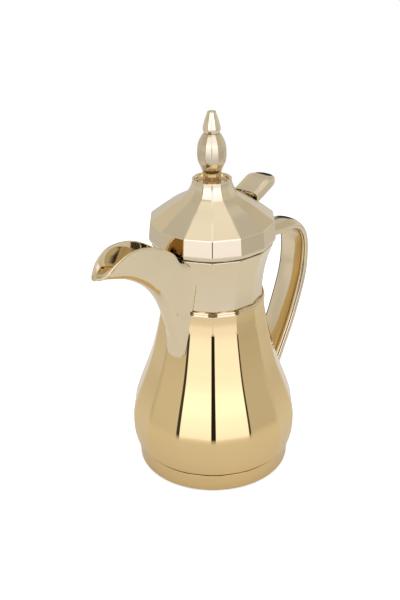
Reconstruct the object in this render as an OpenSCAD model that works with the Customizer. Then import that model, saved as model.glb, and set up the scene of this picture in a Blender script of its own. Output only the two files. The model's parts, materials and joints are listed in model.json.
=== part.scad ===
// Vacuum coffee pot: a fourteen-sided, waisted flask with an open beak spout, a strap handle,
// and a lift-off lid whose thumb lever raises a valve in the stopper.
// The spout points to -X and the handle to +X. Z = 0 is the surface that the pot stands on.

/* [Flask] */
// Number of flat sides on the body, neck and lid
sides = 14; // [10:2:18]
// Radius of the base ring
base_r = 61; // [54:0.5:72]
// Height of the base ring
base_h = 15.3; // [11:0.1:20]
// Largest radius of the body, over its edges
belly_r = 66; // [61:0.1:80]
// Height of the body's widest place
belly_z = 38; // [32:1:46]
// Height of the seam between body and neck
seam_z = 143.5; // [119:0.5:173]
// Radius of the body at that seam, over its edges
seam_r = 40.3; // [38.5:0.1:48]
// Wall of the body shell
shell_wall = 1.2; // [0.8:0.1:2]

/* [Neck and spout] */
// Height of the neck, from its trim ring to its rim
neck_h = 43.7; // [38:0.1:52]
// Distance that the neck's waist stands in from the seam's radius
waist_in = 1.6; // [0.5:0.1:3]
// Radius of the neck's rim, over its edges
rim_r = 46.6; // [43:0.1:56]
// Wall of the neck
neck_wall = 2.4; // [1.8:0.1:3.2]
// Height of the trim ring under the neck
trim_h = 3; // [2:0.1:4]
// Reach of the spout's tip from the pot's axis
spout_reach = 126.5; // [108:0.5:150]
// Rise of the spout's lip above the neck's rim
lip_rise = 26; // [20:0.1:30]
// Half of the spout's width at the rim
spout_w = 10.3; // [8:0.1:12]
// Half of the width of the tail below the spout
tail_w = 7.8; // [6.5:0.1:8.6]
// Drop of the tail below the seam
tail_drop = 35.5; // [28:0.5:45]
// Wall of the spout
spout_wall = 1.9; // [1.5:0.1:2.6]

/* [Handle] */
// Reach of the handle's middle line from the pot's axis
handle_reach = 112; // [100:0.5:135]
// Half of the handle's width
handle_w = 12.8; // [8:0.1:15]
// Half of the handle's thickness at its top
handle_t = 4.6; // [3.8:0.1:5.5]
// Half of the handle's thickness at its foot
handle_foot_t = 6.2; // [5:0.1:7]
// Half of the handle's width at its foot
handle_foot_w = 13.8; // [8:0.1:16]
// Height of the handle's foot on the body
handle_foot_z = 47; // [40:0.5:55]

/* [Lid] */
// Height of the band round the lid
band_h = 15.7; // [12:0.1:20]
// Distance that the lid's lower edge stands out past the neck's rim
lid_overhang = 1.8; // [0.6:0.1:3]
// Distance that the ridge above the band stands in from the lid's lower edge
ridge_in = 1.2; // [0:0.1:4]
// Height of the dome, from ridge to crown
dome_h = 30.6; // [25:0.1:38]
// Radius of the crown that holds the finial
crown_r = 14.9; // [13:0.1:17]
// Wall of the lid
lid_wall = 2; // [1.6:0.1:2.6]
// Height of the large bud of the finial above its foot
bud_h = 38; // [30:0.5:45]
// Radius of the large bud
bud_r = 10.9; // [9:0.1:12]
// Height of the small bud
tip_h = 15.6; // [14:0.1:22]
// Radius of the small bud
tip_r = 6.6; // [5.5:0.1:7.5]

/* [Thumb lever] */
// Reach of the lever's tip from the pot's axis
lever_reach = 72; // [66:0.5:86]
// Half of the lever's width
lever_w = 11.5; // [8:0.1:13]
// Distance of the lever's pin from the pot's axis
pin_x = 34; // [28:0.5:36]
// Radius of the lever's pin
pin_r = 1.6; // [1.2:0.1:2]
// Angle that the lever turns when pressed
press_angle = 10; // [6:1:11]

/* [Stopper and liner] */
// Inner radius of the glass liner's mouth
mouth_r = 24.6; // [20:0.1:26]
// Space between the glass liner and the outside of the base ring that it goes in through
liner_gap = 11; // [7:0.5:15]
// Thickness of each glass wall
glass_wall = 1.6; // [1.2:0.1:2.2]
// Width of the vacuum gap between the glass walls
vacuum_gap = 3; // [2:0.1:4]
// Radius of the valve stem
stem_r = 2; // [1.5:0.1:2.5]
// Radius of the hole that the valve closes
valve_r = 8; // [6:0.1:10]

/* [Fits] */
// Gap between pieces that are fixed to each other
fit = 0.1; // [0.05:0.05:0.2]
// Gap between pieces that move past each other
gap = 0.4; // [0.3:0.05:0.6]
// Radial clearance of a pin or stem in its hole
running = 0.05; // [0.02:0.01:0.08]

/* [Hidden] */

gold = [0.86, 0.72, 0.45];
pale_gold = [0.88, 0.79, 0.60];
plastic = [0.93, 0.92, 0.88];
silicone = [0.80, 0.80, 0.78];
steel = [0.75, 0.76, 0.78];
mirror_glass = [0.80, 0.85, 0.88];
rubber = [0.12, 0.12, 0.12];

// A facet's middle is nearer to the axis than its edges by this factor.
flat = cos(180 / sides);

// Heights of the main pieces
neck_z = seam_z + trim_h + fit;
waist_r = seam_r - waist_in;
rim_z = neck_z + neck_h;
lid_gap = 1.8;
lid_z = rim_z + lid_gap;
lid_r = rim_r + lid_overhang;
ridge_r = lid_r - ridge_in;
ridge_z = lid_z + band_h;
crown_z = ridge_z + dome_h;
cup_floor = 2.4;
cup_z = crown_z - 6;
bud_z = cup_z + cup_floor;
tip_z = bud_z + bud_h;

// Smooth curve through the points p, with n steps between each two of them
function curve_at(p, k, t) =
    let (a = p[max(k - 1, 0)], b = p[k], c = p[k + 1], d = p[min(k + 2, len(p) - 1)])
    0.5 * (2 * b + (c - a) * t + (2 * a - 5 * b + 4 * c - d) * t * t + (3 * b - a - 3 * c + d) * t * t * t);
function curve(p, n) =
    [for (k = [0:len(p) - 2]) for (s = [0:n - 1]) curve_at(p, k, s / n), p[len(p) - 1]];
function mix(a, b, t) = a + (b - a) * t;
function clamp(v) = min(1, max(0, v));

// Solid through a stack of closed loops with equal numbers of points. A band is a loop that runs out
// along one curve and back beside it, so its end faces are strips between the two curves.
module skin(loops, band = false) {
    n = len(loops[0]);
    last = (len(loops) - 1) * n;
    sides_of = [for (k = [0:len(loops) - 2]) for (i = [0:n - 1])
        let (j = (i + 1) % n, a = k * n + i, b = k * n + j)
        each [[a, a + n, b + n], [a, b + n, b]]];
    strip = [for (i = [0:n / 2 - 2]) each [[i, i + 1, n - 2 - i], [i, n - 2 - i, n - 1 - i]]];
    caps = band ? concat(strip, [for (f = strip) [last + f[2], last + f[1], last + f[0]]]) :
        [[for (i = [0:n - 1]) i], [for (i = [n - 1:-1:0]) last + i]];
    polyhedron([for (l = loops) each l], concat(sides_of, caps), convexity = 8);
}

// Many-sided solid: r_z is a list of [radius over the edges, height]
module faceted(r_z, n = sides) {
    skin([for (p = r_z) [for (i = [0:n - 1])
        let (a = (i + 0.5) * 360 / n) [p[0] * cos(a), p[0] * sin(a), p[1]]]]);
}

module ring(r_out, r_in, h, z = 0) {
    translate([0, 0, z]) rotate_extrude($fn = 96)
        translate([r_in, 0]) square([r_out - r_in, h]);
}

// Body: a quarter ellipse up to the belly, then a long curve in to the seam
body_steps = 5;
body_low = [for (s = [0:body_steps - 1])
    let (t = s / body_steps)
    [mix(base_r, belly_r, sqrt(1 - pow(1 - t, 2))), mix(base_h + fit, belly_z, t)]];
body_curve = curve([[1, 0], [0.985, 0.09], [0.79, 0.24], [0.4, 0.5], [0.145, 0.75], [0.034, 0.905],
    [0, 1]], 4);
body_profile = concat(body_low,
    [for (p = body_curve) [mix(seam_r, belly_r, p[0]), mix(belly_z, seam_z, p[1])]]);
// The flat sides fade out between the belly and the base.
function roundness(z) = 1 - clamp((z - base_h) / (belly_z - base_h));
function body_r(z) =
    let (p = [for (i = [0:len(body_profile) - 2])
        if (body_profile[i][1] <= z && z <= body_profile[i + 1][1]) i])
    len(p) == 0 ? seam_r :
    let (a = body_profile[p[0]], b = body_profile[p[0] + 1])
    mix(a[0], b[0], (z - a[1]) / (b[1] - a[1]));

module body_outside() {
    skin([for (p = body_profile) [for (i = [0:2 * sides - 1])
        let (a = (i + 1) * 180 / sides, r = p[0] * (i % 2 == 0 ? 1 : mix(flat, 1, roundness(p[1]))))
        [r * cos(a), r * sin(a), p[1]]]]);
}

// Neck: narrowest just above the trim ring, flaring to the rim
neck_flare = 3;
flare_power = 2.1;
neck_profile = concat([[waist_r, neck_z], [waist_r, neck_z + neck_flare]],
    [for (s = [1:8]) let (t = s / 8)
        [mix(waist_r, rim_r, pow(t, flare_power)), mix(neck_z + neck_flare, rim_z, t)]]);
function neck_r(z) =
    mix(waist_r, rim_r, pow(clamp((z - neck_z - neck_flare) / (neck_h - neck_flare)), flare_power));
basin_z = neck_z + 3.4;

// Spout: sections across X, each with a round keel and straight sides up to the lip
tail_z = seam_z - tail_drop;
spout_start = -waist_r * flat + 0.8;
keel_run = spout_reach - seam_r;
keel_rise = rim_z + 12 - tail_z;
tail_x = -(body_r(tail_z) * flat + 1.8);
keel_line = curve([
    [tail_x, tail_z + 1.5],
    [tail_x - 0.7, tail_z + 11],
    [-seam_r - 0.132 * keel_run, tail_z + 0.26 * keel_rise],
    [-seam_r - 0.249 * keel_run, tail_z + 0.544 * keel_rise],
    [-seam_r - 0.406 * keel_run, tail_z + 0.737 * keel_rise],
    [-seam_r - 0.637 * keel_run, tail_z + 0.89 * keel_rise],
    [-seam_r - 0.867 * keel_run, tail_z + 0.972 * keel_rise],
    [-spout_reach, tail_z + keel_rise]], 3);
lip_run = spout_reach - rim_r;
lip_line = curve([
    [spout_start, rim_z],
    [-lid_r - 0.6, rim_z + 0.2],
    [-rim_r - 0.135 * lip_run, rim_z + 0.41 * lip_rise],
    [-rim_r - 0.4 * lip_run, rim_z + 0.87 * lip_rise],
    [-rim_r - 0.655 * lip_run, rim_z + lip_rise],
    [-rim_r - 0.83 * lip_run, rim_z + 0.83 * lip_rise],
    [-rim_r - 0.945 * lip_run, rim_z + 0.57 * lip_rise],
    [-spout_reach, rim_z + 13.6]], 4);
function height_on(line, x) =
    let (p = [for (i = [0:len(line) - 2]) if (line[i][0] >= x && x >= line[i + 1][0]) i])
    len(p) == 0 ? (x > line[0][0] ? line[0][1] : line[len(line) - 1][1]) :
    let (a = line[p[0]], b = line[p[0] + 1])
    mix(a[1], b[1], (x - a[0]) / (b[0] - a[0]));
function keel_z(x) = x > tail_x ? tail_z : height_on(keel_line, x);
// The width narrows down the tail and closes in to the tip.
function tip_close(x) = sqrt(1 - pow(clamp((-x - spout_reach * 0.79) / (spout_reach * 0.216)), 2));
function arm_w(x, z) = mix(tail_w, spout_w, clamp((z - tail_z) / (rim_z - tail_z))) * tip_close(x);
// The root spreads sideways in a fillet as it nears the flat face that it stands on.
function face_x(z) =
    z < seam_z ? body_r(z) * flat : z < neck_z ? (seam_r + 0.5) * flat : neck_r(min(z, rim_z)) * flat;
root_l = 12;
root_spread = [[tail_z, 2.3], [seam_z, 2.5], [seam_z + 20, 4], [rim_z - 6, 3], [rim_z, 1]];
function side_w(x, z) =
    arm_w(x, z) + lookup(z, root_spread) * pow(max(0, 1 - (-x - face_x(z)) / root_l), 2);
// Height of the round keel in each section: deepest where the tail leaves the body
keel_depth = [[spout_start, 4], [tail_x, 5], [tail_x - 3, 20], [tail_x - 8, 18], [tail_x - 24, 6.5],
    [-spout_reach, 6.5]];
side_steps = 4;
keel_steps = 6;
outer_taper = 0.8;
inner_taper = 0.55;
// One arm of the section, from the lip at -Y round the keel to the lip at +Y. Its sides lean in
// towards the keel, where they are this share (taper) of their width at the lip.
function spout_arc(x, low, high, inset, taper) =
    let (bottom = low + min(height_on(keel_depth, x), (high - low) * 0.8),
        leaning = [for (s = [0:side_steps]) let (t = s / side_steps, z = mix(bottom, high, t))
            [(side_w(x, z) - inset) * mix(taper, 1, t), z]],
        w0 = leaning[0][0])
    concat(
        [for (s = [side_steps:-1:1]) [x, -leaning[s][0], leaning[s][1]]],
        [for (s = [0:keel_steps]) let (a = -90 + 180 * s / keel_steps)
            [x, w0 * sin(a), bottom - (bottom - low) * cos(a)]],
        [for (s = [1:side_steps]) [x, leaning[s][0], leaning[s][1]]]);
function reversed(list) = [for (i = [len(list) - 1:-1:0]) list[i]];
// The channel is the same curve moved in by the wall, with its floor never below the basin's.
function spout_loop(x) =
    let (low = keel_z(x), high = height_on(lip_line, x),
        wall = min(spout_wall, side_w(x, high) * 0.45),
        floor_z = min(max(low + spout_wall, basin_z), high - 0.6))
    concat(spout_arc(x, low, high, 0, outer_taper),
        reversed(spout_arc(x, floor_z, high, wall, inner_taper)));
spout_stations = concat(
    [-spout_reach, -spout_reach + 1.2, -spout_reach + 3],
    [for (i = [len(keel_line) - 2:-1:2]) keel_line[i][0]],
    [for (t = [0, 0.15, 0.35, 0.55, 0.75, 1]) mix(tail_x, spout_start, t)]);

// Side outline of one flat face of the pot, from below the tail up to the rim
function face_outline(low, grow) = concat(
    [for (z = [low, each [for (p = body_profile) if (p[1] > low) p[1]]]) [body_r(z) * flat + grow, z]],
    [[(seam_r + 0.5) * flat + grow, seam_z + 0.01], [(seam_r + 0.5) * flat + grow, neck_z - 0.01]],
    [for (p = neck_profile) [p[0] * flat + grow, p[1]]]);
// Block behind that face
module behind_face(low, depth) {
    line = face_outline(low, fit);
    rotate([90, 0, 0]) linear_extrude(60, center = true)
        polygon(concat(line, [[depth, rim_z + 20], [depth, low]]));
}

// Handle: a swept strap with a rounded section, split along its length
handle_top_z = rim_z - 12.5;
handle_foot_x = body_r(handle_foot_z) * flat;
handle_line = curve([
    [neck_r(handle_top_z) * flat - 1.5, handle_top_z],
    [handle_reach * 0.66, handle_top_z - 3.2],
    [handle_reach * 0.875, handle_top_z - 6],
    [handle_reach * 0.98, handle_top_z - 17],
    [handle_reach * 1.008, handle_top_z - 35],
    [handle_reach * 0.98, handle_top_z - 58],
    [handle_reach * 0.86, mix(handle_top_z, handle_foot_z, 0.68)],
    [handle_foot_x + 18, mix(handle_top_z, handle_foot_z, 0.86)],
    [handle_foot_x + 4, handle_foot_z - 4]], 4);
handle_n = len(handle_line);
function handle_dir(i) =
    let (a = handle_line[max(i - 1, 0)], b = handle_line[min(i + 1, handle_n - 1)], d = b - a)
    d / norm(d);
// At its top the strap narrows to the flat face that it stands on.
handle_root_w = neck_r(handle_top_z) * sin(180 / sides) + 0.4;
// A section point is [out from the pot, across]; the strap grows thicker and wider to its foot.
module handle_sweep(section) {
    skin([for (i = [0:handle_n - 1])
        let (p = handle_line[i], d = handle_dir(i), t = i / (handle_n - 1),
            thick = mix(handle_t, handle_foot_t, t),
            wide = mix(1, handle_foot_w / handle_w, t) * mix(handle_root_w / handle_w, 1, clamp(t / 0.16)))
        [for (s = reversed(section))
            [p[0] - d[1] * s[0] * thick, s[1] * wide, p[1] + d[0] * s[0] * thick]]]);
}
cover_w = handle_w - 1.6;
// The sections run in one direction: across the outside from -Y to +Y, then back on the inside.
outer_arc = [for (s = [0:10]) let (a = -90 + 18 * s) [cos(a) * 0.98 - 0.12, handle_w * sin(a)]];
shell_section = concat(outer_arc,
    [[-0.5, handle_w - 0.5], [-0.62, cover_w + fit], [0.25, cover_w - 1.4], [0.45, 0],
     [0.25, 1.4 - cover_w], [-0.62, -cover_w - fit], [-0.5, 0.5 - handle_w]]);
cover_section = concat(
    [[-0.62, -cover_w], [0.1, 1.6 - cover_w], [0.1, cover_w - 1.6], [-0.62, cover_w]],
    [for (s = [1:5]) let (a = 90 - 30 * s) [-0.62 - 0.36 * cos(a), cover_w * sin(a)]]);

// Liner: a bulb with a straight neck
liner_r = base_r - liner_gap;
liner_z = base_h - 1.3;
shoulder_z = mix(belly_z, seam_z, 0.32);
liner_neck_z = mix(belly_z, seam_z, 0.83);
mouth_z = neck_z + 4.8;
wall_pair = 2 * glass_wall + vacuum_gap;
liner_line = curve([
    [liner_r, shoulder_z],
    [mix(mouth_r + wall_pair, liner_r, 0.72), mix(shoulder_z, liner_neck_z, 0.38)],
    [mix(mouth_r + wall_pair, liner_r, 0.22), mix(shoulder_z, liner_neck_z, 0.74)],
    [mouth_r + wall_pair, liner_neck_z]], 4);
bottom_round = 16;
// Outline from the axis at the bottom, round the side and up to the mouth, moved in by d
function liner_outline(d, top) = concat(
    [[0, liner_z + d]],
    [for (a = [0:15:90]) [liner_r - bottom_round + (bottom_round - d) * sin(a),
        liner_z + bottom_round - (bottom_round - d) * cos(a)]],
    [for (p = liner_line) [p[0] - d, p[1]]],
    [[mouth_r + wall_pair - d, top]]);
module glass(d, top, wall) {
    rotate_extrude($fn = 96) difference() {
        polygon(concat(liner_outline(d, top), [[0, top]]));
        polygon(concat(liner_outline(d + wall, top + 1), [[0, top + 1]]));
    }
}

// Stopper and valve
throat_r = mouth_r + 0.4;
throat_wall = 2.2;
throat_z = mouth_z + 1.8;
throat_top = rim_z - 2.5;
stopper_r = mouth_r - 1.4;
stopper_wall = 2;
stopper_z = mouth_z - 4;
stopper_floor = 2.4;
flange_h = 2.4;
flange_z = throat_top + gap;
flange_r = mouth_r + 8.4;
plate_z = flange_z + flange_h + fit;
plate_h = 2.4;
port_low = throat_z + 4;
port_high = port_low + 13;
port_w = spout_w - spout_wall - 1;
seal_z = stopper_z + 3;
seal_h = 4;
groove = 1.2;
guide_z = flange_z - 6;
guide_h = 2.4;
guide_r = stopper_r - stopper_wall - fit;
washer_h = 1.5;
plug_z = stopper_z + stopper_floor + washer_h;
plug_h = 7;
plug_r = valve_r + 2.5;
screw_circle = mouth_r + 3.9;
screw_r = 1.5;
screw_angles = [60, 180, 300];

// Lever: its pin sits just inside the dome, its fork reaches under the stem nut
pin_z = ridge_z + 3.2;
lever_t = 3.2;
fork_z = pin_z - 1;
nut_r = 4.2;
nut_h = 3;
// The fork's tip rises further than the stem, so the nut clears it by that much at full press.
nut_z = fork_z + lever_t + gap + nut_r * sin(press_angle);
bracket_w = 4.4;
ear_t = 2.2;

screw_angles_lid = [30, 150, 270];

module foot_ring() {
    color(rubber) ring(base_r - 4 - fit, base_r - 10, 1.8, 0);
}

module base_ring() {
    round_r = 1.8;
    color(gold) rotate_extrude($fn = 128) union() {
        // Wall with a rounded lower edge
        polygon(concat([[base_r - 4, 0.6]],
            [for (a = [0:15:90])
                [base_r - 0.8 - round_r + round_r * sin(a), 0.6 + round_r - round_r * cos(a)]],
            [[base_r, base_h], [base_r - 4, base_h]]));
        // Floor that carries the foot ring and the cap
        translate([base_r - 14, 1.8 + fit]) square([11, 2.4]);
        // Spigot that screws into the body
        translate([base_r - 4.5, 3]) square([2, base_h + 1]);
    }
}

module bottom_cap() {
    color(plastic) difference() {
        union() {
            ring(base_r - 14 - fit, 0, 3, 1.8 + fit);
            ring(base_r - 6, 0, 2, 4.2 + 2 * fit);
        }
        // Finger slot across the cap
        translate([-20, -3, 0]) cube([40, 6, 3.4]);
    }
}

module liner_cushion() {
    cushion_r = liner_r - 14;
    top = liner_z + 2.5;
    low = 6.2 + 3 * fit;
    color(rubber) difference() {
        ring(cushion_r, 9, top - low, low);
        translate([0, 0, -fit]) rotate_extrude($fn = 96)
            polygon(concat(liner_outline(0, liner_neck_z), [[0, liner_neck_z]]));
    }
}

module body_shell() {
    inner = [for (p = body_profile) [p[0] * mix(flat, 1, roundness(p[1])) - shell_wall, p[1]]];
    first = inner[0];
    color(gold) difference() {
        body_outside();
        rotate_extrude($fn = 128) polygon(concat(
            [[0, base_h - 1], [first[0], base_h - 1]], inner,
            [[seam_r * flat - shell_wall, seam_z + 1], [0, seam_z + 1]]));
        // Hole for the handle's lower screw
        translate([0, 0, handle_foot_z]) rotate([0, 90, 0])
            cylinder(r = screw_r + 0.2, h = belly_r, $fn = 24);
    }
}

module liner_outer() {
    color(mirror_glass) union() {
        glass(0, mouth_z, glass_wall);
        // Tip where the air was drawn out
        translate([0, 0, liner_z - 3]) cylinder(r1 = 1.5, r2 = 3, h = 3.4, $fn = 24);
    }
}

module liner_inner() {
    d = glass_wall + vacuum_gap;
    color(mirror_glass) union() {
        glass(d, mouth_z, glass_wall);
        // Lip that closes the gap to the outer wall
        ring(mouth_r + wall_pair - glass_wall - fit / 2, mouth_r, glass_wall, mouth_z - glass_wall);
    }
}

module liner_spacers() {
    color(silicone) for (a = [0, 120, 240]) rotate([0, 0, a + 30])
        translate([liner_r - glass_wall - vacuum_gap + fit / 2, 0, mix(liner_z, shoulder_z, 0.5)])
        rotate([0, 90, 0]) cylinder(r = 4, h = vacuum_gap - 0.4, $fn = 24);
}

module mouth_gasket() {
    color(silicone) ring(mouth_r + wall_pair, mouth_r + 1, 1.6, mouth_z + fit);
}

spigot_r = seam_r * flat - shell_wall - 0.6;
module neck_collar() {
    opening_w = arm_w(0, basin_z) - spout_wall;
    color(pale_gold) difference() {
        union() {
            faceted(neck_profile);
            ring(spigot_r, spigot_r - 2.2, neck_z - seam_z + 9, seam_z - 8);
        }
        // Basin round the stopper
        rotate_extrude($fn = 128) polygon(concat([[0, basin_z]],
            [for (i = [1:len(neck_profile) - 1])
                [neck_profile[i][0] * flat - neck_wall, max(basin_z, neck_profile[i][1])]],
            [[rim_r * flat - neck_wall, rim_z + 1], [0, rim_z + 1]]));
        // Opening to the spout
        translate([-rim_r - 5, 0, 0]) rotate([90, 0, 90]) linear_extrude(30) polygon([
            [-opening_w, basin_z], [opening_w, basin_z],
            [spout_w - spout_wall, rim_z + 1], [spout_wall - spout_w, rim_z + 1]]);
        // Room for the liner's neck and the throat
        cylinder(r = mouth_r + wall_pair + 0.8, h = basin_z + 1, $fn = 96);
        // Holes for the throat's screws and the handle's upper screw
        for (a = screw_angles) rotate([0, 0, a])
            translate([mouth_r + 8.9, 0, neck_z - 1]) cylinder(r = 1, h = 6, $fn = 24);
        translate([20, 0, handle_top_z]) rotate([0, 90, 0]) cylinder(r = screw_r + 0.2, h = 40, $fn = 24);
    }
}

module spout() {
    color(pale_gold) difference() {
        skin([for (x = spout_stations) spout_loop(x)], band = true);
        intersection_for(k = [-1:1]) rotate(180 + k * 360 / sides) behind_face(tail_z - 4, 10);
    }
}

module neck_trim() {
    color(gold) difference() {
        faceted([[seam_r + 0.1, seam_z + fit], [seam_r + 0.5, seam_z + 0.6], [seam_r + 0.5, neck_z - 1.9],
            [seam_r - 0.2, neck_z - 1.6], [seam_r + 0.4, neck_z - 1.2], [seam_r + 0.4, neck_z - fit]]);
        translate([0, 0, seam_z - 1]) cylinder(r = spigot_r + 0.2, h = trim_h + 2, $fn = 96);
    }
}

module throat() {
    outer = throat_r + throat_wall;
    color(plastic) difference() {
        union() {
            ring(outer, throat_r, throat_top - throat_z, throat_z);
            ring(waist_r * flat - neck_wall - 0.5, throat_r, 2.2, throat_z);
            // Skirt that stands on the collar's floor
            ring(waist_r * flat - neck_wall - 0.5, mouth_r + wall_pair + 0.9, throat_z - basin_z,
                basin_z + fit);
        }
        // Port that lets the coffee through to the spout
        translate([-outer - 1, -port_w, port_low]) cube([10, 2 * port_w, port_high - port_low]);
        for (a = screw_angles) rotate([0, 0, a])
            translate([mouth_r + 8.9, 0, basin_z - 1]) cylinder(r = 1.2, h = 8, $fn = 24);
    }
}

module throat_screws() {
    color(steel) for (a = screw_angles) rotate([0, 0, a]) translate([mouth_r + 8.9, 0, 0]) {
        translate([0, 0, neck_z + 0.4]) cylinder(r = 0.9, h = throat_z - neck_z + 2, $fn = 24);
        translate([0, 0, throat_z + 2.2 + fit]) cylinder(r = 1.9, h = 1.2, $fn = 24);
    }
}

// Inner face of the wall that each handle screw goes through, and the screw's reach past it
function screw_seat(z) =
    z > seam_z ? neck_r(z) * flat - neck_wall : body_r(z) * mix(flat, 1, roundness(z)) - shell_wall;
handle_screw_reach = 6.9;
screw_head_r = 3;
screw_head_h = 1.8;
module handle_shell() {
    color(pale_gold) difference() {
        handle_sweep(shell_section);
        behind_face(handle_foot_z - 14, waist_r - 12);
    }
}

module handle_cover() {
    color(gold) difference() {
        handle_sweep(cover_section);
        behind_face(handle_foot_z - 14, waist_r - 12);
        // Holes for the screws from inside the pot, a little deeper than the screws reach
        for (p = [[neck_r(handle_top_z), handle_top_z], [body_r(handle_foot_z), handle_foot_z]])
            translate([0, 0, p[1]]) rotate([0, 90, 0])
                cylinder(r = screw_r + fit, h = p[0] + handle_screw_reach + 1.6, $fn = 24);
    }
}

module handle_screws() {
    color(steel) for (z = [handle_top_z, handle_foot_z]) {
        // The wall leans, so the head stands clear of the edge that comes in furthest.
        head_x = min(screw_seat(z - screw_head_r), screw_seat(z + screw_head_r)) - fit - screw_head_h;
        translate([head_x, 0, z]) rotate([0, 90, 0]) {
            cylinder(r = screw_head_r, h = screw_head_h, $fn = 24);
            cylinder(r = screw_r, h = screw_seat(z) + handle_screw_reach - head_x, $fn = 24);
        }
    }
}

module stopper_seal() {
    color(silicone) difference() {
        ring(mouth_r - gap, stopper_r - groove + fit, seal_h - 2 * fit, seal_z + fit);
        // Shallow channel that leaves two sealing lips
        ring(mouth_r, mouth_r - gap - 0.5, 1.2, seal_z + seal_h / 2 - 0.6);
    }
}

module stopper_body() {
    tube_h = flange_z + flange_h - stopper_z;
    color(plastic) difference() {
        union() {
            ring(stopper_r, 0, tube_h, stopper_z);
            ring(flange_r, 0, flange_h, flange_z);
        }
        translate([0, 0, stopper_z + stopper_floor])
            cylinder(r = stopper_r - stopper_wall - 1, h = tube_h, $fn = 96);
        translate([0, 0, guide_z]) cylinder(r = stopper_r - stopper_wall, h = tube_h, $fn = 96);
        translate([0, 0, stopper_z - 1]) cylinder(r = valve_r, h = stopper_floor + 2, $fn = 64);
        ring(stopper_r + 1, stopper_r - groove, seal_h, seal_z);
        translate([-stopper_r - 2, -port_w, port_low]) cube([10, 2 * port_w, port_high - port_low]);
        for (a = screw_angles_lid) rotate([0, 0, a])
            translate([screw_circle, 0, flange_z - 1])
                cylinder(r = screw_r + 0.2, h = flange_h + 2, $fn = 24);
    }
}

module stem_guide() {
    color(plastic) difference() {
        ring(guide_r, stem_r + running, guide_h, guide_z + fit);
        for (a = [0:60:300]) rotate([0, 0, a])
            translate([guide_r * 0.6, 0, guide_z - 1]) cylinder(r = 3, h = guide_h + 3, $fn = 24);
    }
}

module valve_plug() {
    color(plastic) difference() {
        union() {
            translate([0, 0, plug_z]) cylinder(r = plug_r, h = 3, $fn = 64);
            translate([0, 0, plug_z]) cylinder(r = 5, h = plug_h, $fn = 64);
        }
        translate([0, 0, plug_z - 1]) cylinder(r = stem_r + 0.01, h = plug_h + 2, $fn = 48);
    }
}

module valve_washer() {
    color(silicone) ring(plug_r - 0.3, stem_r + 0.6, washer_h - fit - 0.05, plug_z - washer_h + 0.05);
}

module valve_stem() {
    // Its foot is a flat head below the washer, inside the valve's hole
    color(steel) union() {
        translate([0, 0, plug_z - washer_h - 1.2])
            cylinder(r = stem_r, h = nut_z + nut_h + 1.5 - plug_z + washer_h + 1.2, $fn = 48);
        translate([0, 0, plug_z - washer_h - 1.2]) cylinder(r = 4, h = 1.2 - fit, $fn = 48);
    }
}

module stem_nut() {
    color(steel) difference() {
        translate([0, 0, nut_z]) cylinder(r = nut_r, h = nut_h, $fn = 6);
        translate([0, 0, nut_z - 1]) cylinder(r = stem_r + 0.01, h = nut_h + 2, $fn = 48);
    }
}

// Spring: stacked turns that follow one helix
spring_low = plug_z + 3 + 0.2;
spring_high = guide_z + fit - 0.2;
spring_wire = 0.5;
spring_r = 6.4;
spring_turns = 6;
spring_steps = 12;
module valve_spring() {
    rise = spring_high - spring_low - 2 * spring_wire;
    color(steel) skin([for (s = [0:spring_turns * spring_steps])
        let (a = 360 * s / spring_steps,
            z = spring_low + spring_wire + rise * s / (spring_turns * spring_steps))
        [for (k = [0:5]) let (b = -60 * k, r = spring_r + spring_wire * cos(b))
            [r * cos(a), r * sin(a), z + spring_wire * sin(b)]]]);
}

module lid_base() {
    plate_r = lid_r * flat - lid_wall - 0.8;
    color(plastic) difference() {
        ring(plate_r, 0, plate_h, plate_z);
        translate([0, 0, plate_z - 1]) cylinder(r = stem_r + 1.5, h = plate_h + 2, $fn = 48);
        for (a = screw_angles_lid) rotate([0, 0, a])
            translate([screw_circle, 0, plate_z - 1]) cylinder(r = screw_r + 0.1, h = plate_h + 2, $fn = 24);
    }
}

dome_line = curve([
    [ridge_r, ridge_z],
    [mix(crown_r, ridge_r, 0.565), ridge_z + dome_h * 0.33],
    [mix(crown_r, ridge_r, 0.27), ridge_z + dome_h * 0.51],
    [mix(crown_r, ridge_r, 0.1), ridge_z + dome_h * 0.66],
    [crown_r + 0.5, ridge_z + dome_h * 0.85],
    [crown_r, crown_z]], 3);
module lid_dome() {
    inner_top = len(dome_line) - 5;
    slot_w = lever_w + gap;
    color(pale_gold) difference() {
        faceted(concat([[lid_r - 1, lid_z], [lid_r - 0.2, lid_z + 1.2], [lid_r, lid_z + 2.4]], dome_line));
        faceted(concat([[lid_r - lid_wall, lid_z - 1], [lid_r - lid_wall, lid_z + 3]],
            [for (i = [0:inner_top])
                [dome_line[i][0] - lid_wall * (i == 0 ? 1 : 1.35), dome_line[i][1] - 0.6]],
            [[6, cup_z - 0.2], [5, cup_z]]));
        // Cup in the crown
        translate([0, 0, cup_z + cup_floor]) cylinder(r = crown_r - 2.2, h = 10, $fn = 64);
        translate([0, 0, cup_z - 4]) cylinder(r = 2.7, h = 10, $fn = 32);
        // Slot that the lever swings in
        translate([pin_x - 4, -slot_w, pin_z - 6]) cube([30, 2 * slot_w, 13]);
    }
}

module lid_screws() {
    color(steel) for (a = screw_angles_lid) rotate([0, 0, a]) translate([screw_circle, 0, 0]) {
        translate([0, 0, flange_z - 0.2]) cylinder(r = screw_r, h = flange_h + plate_h + 1.5, $fn = 24);
        translate([0, 0, plate_z + plate_h + fit]) cylinder(r = 2.8, h = 1.6, $fn = 6);
    }
}

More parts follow.
